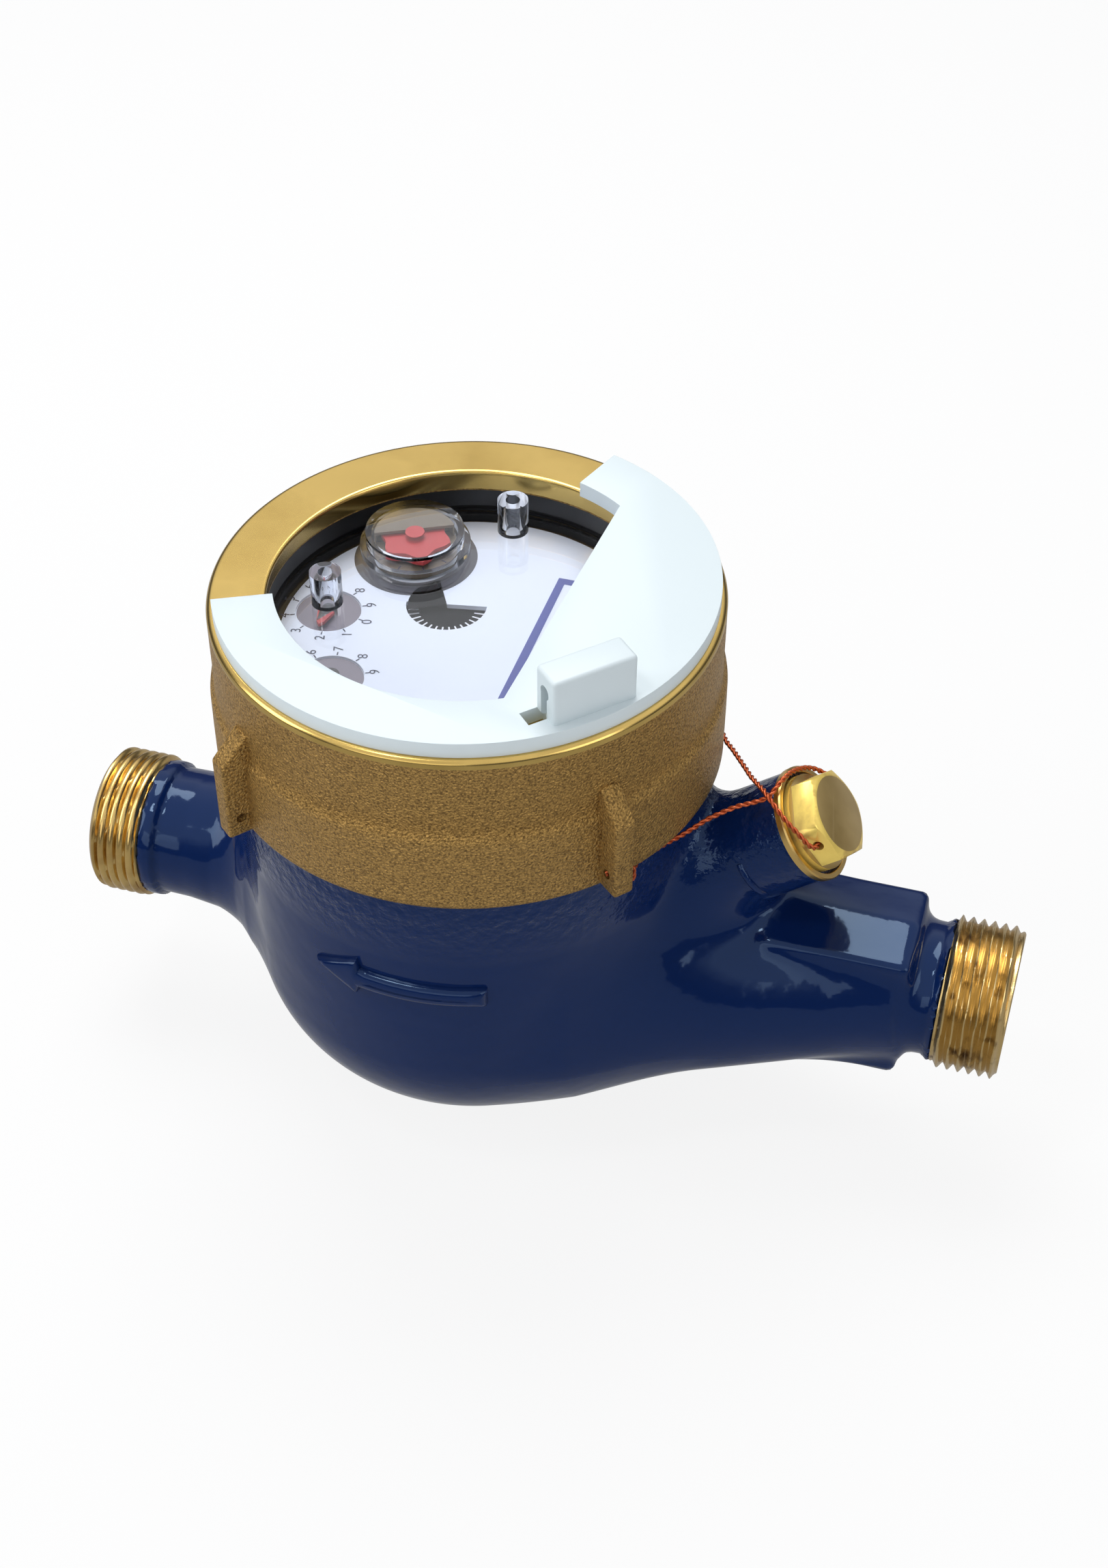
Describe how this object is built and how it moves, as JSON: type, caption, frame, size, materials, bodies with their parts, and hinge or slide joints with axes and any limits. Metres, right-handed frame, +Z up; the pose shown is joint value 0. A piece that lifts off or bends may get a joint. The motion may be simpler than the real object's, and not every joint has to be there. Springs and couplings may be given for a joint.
{
  "type": "water meter",
  "caption": "Multi-jet water meter with threaded pipe ends, painted bowl, brass head ring, pointer register under a clear cover and a sealed regulating plug.",
  "frame": {"origin": "middle of the rest pad under the bowl, on the register axis", "axes": "+X along the pipe towards the inlet, +Z up along the register axis"},
  "size_m": [0.165, 0.0842, 0.1123],
  "materials": {
    "navy_paint": "glossy enamel",
    "cast_brass": "rough cast, turned on top",
    "turned_brass": "turned",
    "steel": "ground",
    "white_plastic": "smooth",
    "natural_plastic": "moulded",
    "black_plastic": "moulded",
    "beige_plastic": "moulded",
    "red_plastic": "smooth",
    "dial_face": "printed",
    "clear_cover": "clear",
    "rubber": "smooth",
    "copper_wire": "twisted wire"
  },
  "bodies": {
    "meter": {"body": "navy_paint", "head_ring": "cast_brass", "label_ring": "white_plastic", "regulating_plug": "turned_brass", "plug_washer": "rubber", "regulating_screw": "turned_brass", "seal_wire": "copper_wire", "clamp_ring": "black_plastic", "register_cover": "clear_cover", "cover_gasket": "rubber", "register_case": "black_plastic", "dial_plate": "dial_face", "star_dial": "beige_plastic", "gear_plate": "natural_plastic", "plate_pillars": "turned_brass", "number_wheels": "black_plastic", "number_axle": "steel", "chamber_cup": "natural_plastic", "chamber_lid": "natural_plastic", "shaft_bush": "red_plastic", "pivot_pin": "steel", "inlet_strainer": "natural_plastic", "dial_spacer": "black_plastic"},
    "impeller_set": {"impeller": "natural_plastic", "impeller_shaft": "steel"},
    "tick_arbor": {"tick_disc": "black_plastic"},
    "star_arbor": {"star_pointer": "red_plastic"},
    "transfer": {"transfer_arbor": "natural_plastic"},
    "pointer_arbor_1": {"pointer_1": "red_plastic"},
    "idler_arbor_1": {"idler_1": "natural_plastic"},
    "pointer_arbor_2": {"pointer_2": "red_plastic"},
    "idler_arbor_2": {"idler_2": "natural_plastic"},
    "pointer_arbor_3": {"pointer_3": "red_plastic"},
    "idler_arbor_3": {"idler_3": "natural_plastic"},
    "pointer_arbor_4": {"pointer_4": "red_plastic"}
  },
  "joints": [
    {"name": "impeller_spin", "type": "hinge", "parent": "meter", "child": "impeller_set", "pos_m": [0, 0, 0.068], "axis": [0, 0, 1], "continuous": true},
    {"name": "tick_spin", "type": "hinge", "parent": "meter", "child": "tick_arbor", "pos_m": [-0.00579, 0.00689, 0.068], "axis": [0, 0, 1], "continuous": true},
    {"name": "star_spin", "type": "hinge", "parent": "meter", "child": "star_arbor", "pos_m": [-0.01462, 0.01743, 0.068], "axis": [0, 0, 1], "continuous": true},
    {"name": "transfer_spin", "type": "hinge", "parent": "meter", "child": "transfer", "pos_m": [-0.0153, 0.00478, 0.068], "axis": [0, 0, 1], "continuous": true},
    {"name": "pointer_1_spin", "type": "hinge", "parent": "meter", "child": "pointer_arbor_1", "pos_m": [-0.0238, 0, 0.068], "axis": [0, 0, 1], "continuous": true},
    {"name": "idler_1_spin", "type": "hinge", "parent": "meter", "child": "idler_arbor_1", "pos_m": [-0.01726, -0.00619, 0.068], "axis": [0, 0, 1], "continuous": true},
    {"name": "pointer_2_spin", "type": "hinge", "parent": "meter", "child": "pointer_arbor_2", "pos_m": [-0.01769, -0.01593, 0.068], "axis": [0, 0, 1], "continuous": true},
    {"name": "idler_2_spin", "type": "hinge", "parent": "meter", "child": "idler_arbor_2", "pos_m": [-0.00869, -0.01615, 0.068], "axis": [0, 0, 1], "continuous": true},
    {"name": "pointer_3_spin", "type": "hinge", "parent": "meter", "child": "pointer_arbor_3", "pos_m": [-0.00249, -0.02367, 0.068], "axis": [0, 0, 1], "continuous": true},
    {"name": "idler_3_spin", "type": "hinge", "parent": "meter", "child": "idler_arbor_3", "pos_m": [0.00435, -0.01781, 0.068], "axis": [0, 0, 1], "continuous": true},
    {"name": "pointer_4_spin", "type": "hinge", "parent": "meter", "child": "pointer_arbor_4", "pos_m": [0.01399, -0.01926, 0.068], "axis": [0, 0, 1], "continuous": true}
  ],
  "couplings": [
    {"joint": "tick_spin", "follows": "impeller_spin", "ratio": -0.33333},
    {"joint": "star_spin", "follows": "impeller_spin", "ratio": 0.32143},
    {"joint": "transfer_spin", "follows": "impeller_spin", "ratio": 0.1},
    {"joint": "pointer_1_spin", "follows": "impeller_spin", "ratio": -0.03},
    {"joint": "idler_1_spin", "follows": "impeller_spin", "ratio": 0.01},
    {"joint": "pointer_2_spin", "follows": "impeller_spin", "ratio": -0.003},
    {"joint": "idler_2_spin", "follows": "impeller_spin", "ratio": 0.001},
    {"joint": "pointer_3_spin", "follows": "impeller_spin", "ratio": -0.0003},
    {"joint": "idler_3_spin", "follows": "impeller_spin", "ratio": 0.0001},
    {"joint": "pointer_4_spin", "follows": "impeller_spin", "ratio": -0.00003}
  ]
}
